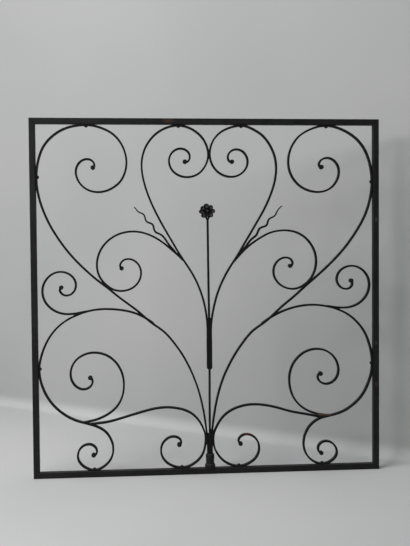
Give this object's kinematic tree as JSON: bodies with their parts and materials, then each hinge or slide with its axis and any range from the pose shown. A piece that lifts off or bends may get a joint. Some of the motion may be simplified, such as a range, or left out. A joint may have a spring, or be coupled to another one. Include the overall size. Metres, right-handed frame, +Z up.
{
  "type": "wrought iron grille",
  "caption": "Square window or door grille of scrolled flat bar in a frame of square bar, with a centre stem, rosette, wavy tendrils and riveted contacts.",
  "frame": {"origin": "middle of the underside of the bottom bar, half way along it and half way through its depth", "axes": "+X to the right seen from the front, +Y towards the back, +Z up; the front faces -Y"},
  "size_m": [1.052, 0.032, 1.073],
  "materials": {
    "frame_iron": "worn matt black paint on hammered square bar",
    "scroll_iron": "worn matt black paint on forged flat bar",
    "rivet_iron": "matt black paint over hammered rivet heads",
    "flower_iron": "matt black paint, dust in the hollows"
  },
  "bodies": {
    "root": {"frame_top_bar": "frame_iron", "frame_bottom_bar": "frame_iron", "frame_left_bar": "frame_iron", "frame_right_bar": "frame_iron", "heart_scroll_left": "scroll_iron", "heart_scroll_right": "scroll_iron", "long_stem_left": "scroll_iron", "long_stem_right": "scroll_iron", "side_scroll_left": "scroll_iron", "side_scroll_right": "scroll_iron", "small_scroll_left": "scroll_iron", "small_scroll_right": "scroll_iron", "s_scroll_left": "scroll_iron", "s_scroll_right": "scroll_iron", "inner_volute_left": "scroll_iron", "inner_volute_right": "scroll_iron", "base_scroll_left": "scroll_iron", "base_scroll_right": "scroll_iron", "tendril_left": "scroll_iron", "tendril_right": "scroll_iron", "centre_stem": "scroll_iron", "flower": "flower_iron", "flower_boss": "flower_iron", "flower_neck": "flower_iron", "stem_ferrule": "scroll_iron", "rivets_top": "rivet_iron", "rivets_bottom": "rivet_iron", "rivets_left": "rivet_iron", "rivets_right": "rivet_iron"}
  },
  "joints": []
}
